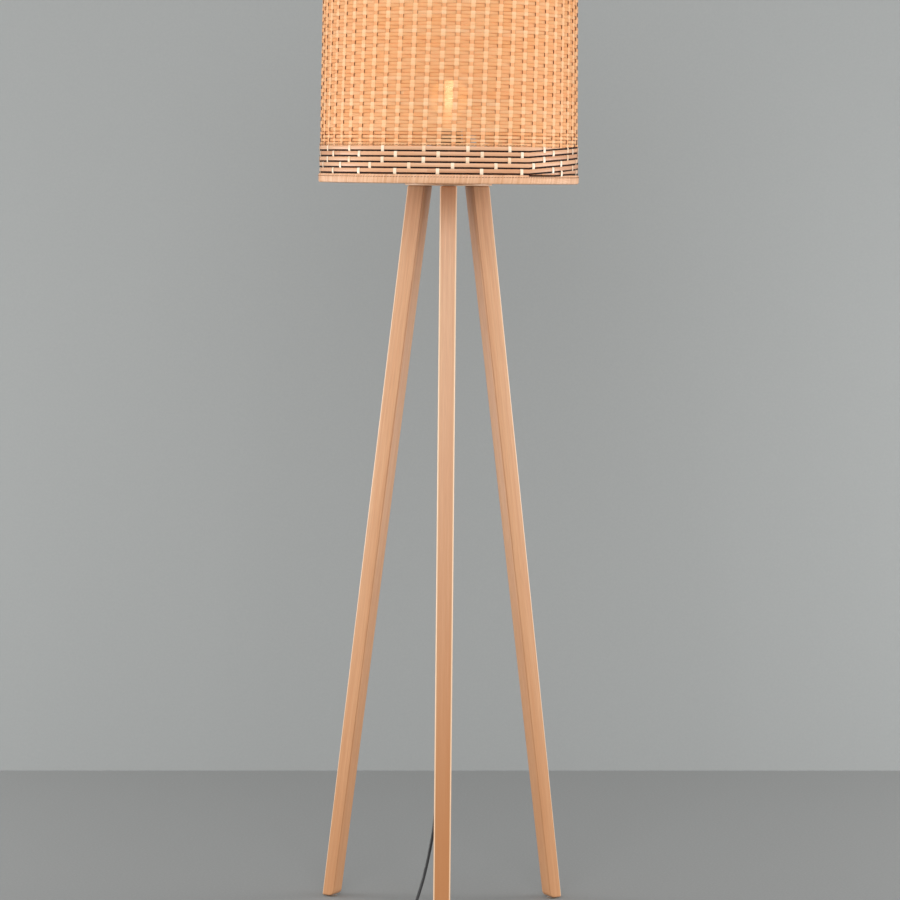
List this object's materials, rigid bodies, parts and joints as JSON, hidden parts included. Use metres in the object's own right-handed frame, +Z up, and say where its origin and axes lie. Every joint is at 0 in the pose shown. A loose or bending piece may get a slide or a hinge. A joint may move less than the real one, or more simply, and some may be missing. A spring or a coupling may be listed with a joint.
{
  "type": "floor lamp",
  "caption": "Tripod floor lamp: tapered timber legs under a round plate, a woven rattan drum shade round an opal bulb, and a black cord with a foot switch and a plug.",
  "frame": {"origin": "on the floor, under the axis of the round plate and the shade", "axes": "+Z up along the axis of the shade, -Y towards the front leg and the camera, +X to the right"},
  "size_m": [0.4309, 0.4157, 1.496],
  "materials": {
    "timber": "clear satin lacquer on beech or rubberwood",
    "felt": "pressed felt",
    "zinc_steel": "zinc plated",
    "brass": "bare, stamped or turned",
    "black_plastic": "fine satin, moulded",
    "ceramic": null,
    "opal_glass": "opal coated inside, smooth outside",
    "cap_metal": "rolled, bright",
    "black_glass": "black insulating glass",
    "stem_glass": "clear glass with a filament",
    "brown_pvc": "insulation of the live conductor",
    "blue_pvc": "insulation of the neutral conductor",
    "white_wire": "white powder coat on wire",
    "rattan": "split rattan weave, unvarnished",
    "rattan_peel": "flat rattan peel",
    "black_cane": "dyed black, matt",
    "flex_pvc": "black flex sheath"
  },
  "bodies": {
    "stand": {"hub_plate": "timber", "leg_front": "timber", "felt_pad_front": "felt", "leg_screw_front_1": "zinc_steel", "leg_screw_front_2": "zinc_steel", "leg_left": "timber", "felt_pad_left": "felt", "leg_screw_left_1": "zinc_steel", "leg_screw_left_2": "zinc_steel", "leg_right": "timber", "felt_pad_right": "felt", "leg_screw_right_1": "zinc_steel", "leg_screw_right_2": "zinc_steel", "threaded_tube": "zinc_steel", "tube_washer": "zinc_steel", "tube_nut": "zinc_steel", "cord_grip": "black_plastic", "cord_in_tube": "flex_pvc", "lead_live": "brown_pvc", "lead_neutral": "blue_pvc", "holder_cap": "black_plastic", "holder_shell": "black_plastic", "contact_carrier": "ceramic", "terminal_screw_live": "brass", "terminal_screw_neutral": "brass", "centre_contact": "brass", "screw_sleeve": "brass", "switch_base": "black_plastic", "switch_cover": "black_plastic", "switch_spring": "zinc_steel", "switch_contact": "brass", "switch_screw_1": "zinc_steel", "switch_screw_2": "zinc_steel", "cord_drop": "flex_pvc", "cord_lead": "flex_pvc", "cord_coil": "flex_pvc", "cord_tail": "flex_pvc", "coil_tie": "black_plastic", "plug_body": "flex_pvc", "plug_pin_1": "brass", "plug_pin_2": "brass"},
    "shade": {"woven_wall": "rattan", "bottom_binding": "rattan_peel", "top_binding": "rattan_peel", "bottom_hoop": "white_wire", "top_hoop": "white_wire", "band_strip": "rattan_peel", "black_strand": "black_cane", "fitter_ring": "white_wire", "fitter_arm_1": "white_wire", "fitter_arm_2": "white_wire", "fitter_arm_3": "white_wire"},
    "ring_nut": {"shade_ring_nut": "black_plastic"},
    "bulb": {"bulb_globe": "opal_glass", "bulb_stem": "stem_glass", "bulb_cap": "cap_metal", "bulb_insulator": "black_glass", "bulb_tip": "cap_metal"},
    "button": {"switch_button": "black_plastic"}
  },
  "joints": [
    {"name": "shade_turn", "type": "hinge", "parent": "stand", "child": "shade", "pos_m": [0, 0, 1.1986], "axis": [0, 0, 1], "continuous": true},
    {"name": "ring_nut_unscrew", "type": "hinge", "parent": "stand", "child": "ring_nut", "pos_m": [0, 0, 1.203], "axis": [0, 0, 1], "range_deg": [0, 720]},
    {"name": "bulb_unscrew", "type": "hinge", "parent": "stand", "child": "bulb", "pos_m": [0, 0, 1.216], "axis": [0, 0, 1], "range_deg": [0, 720]},
    {"name": "button_press", "type": "slide", "parent": "stand", "child": "button", "axis": [0, 0, -1], "range_m": [0, 0.003], "stiffness_N_per_m": 600, "springref_m": -0.001, "deforming": ["switch_spring"]}
  ]
}
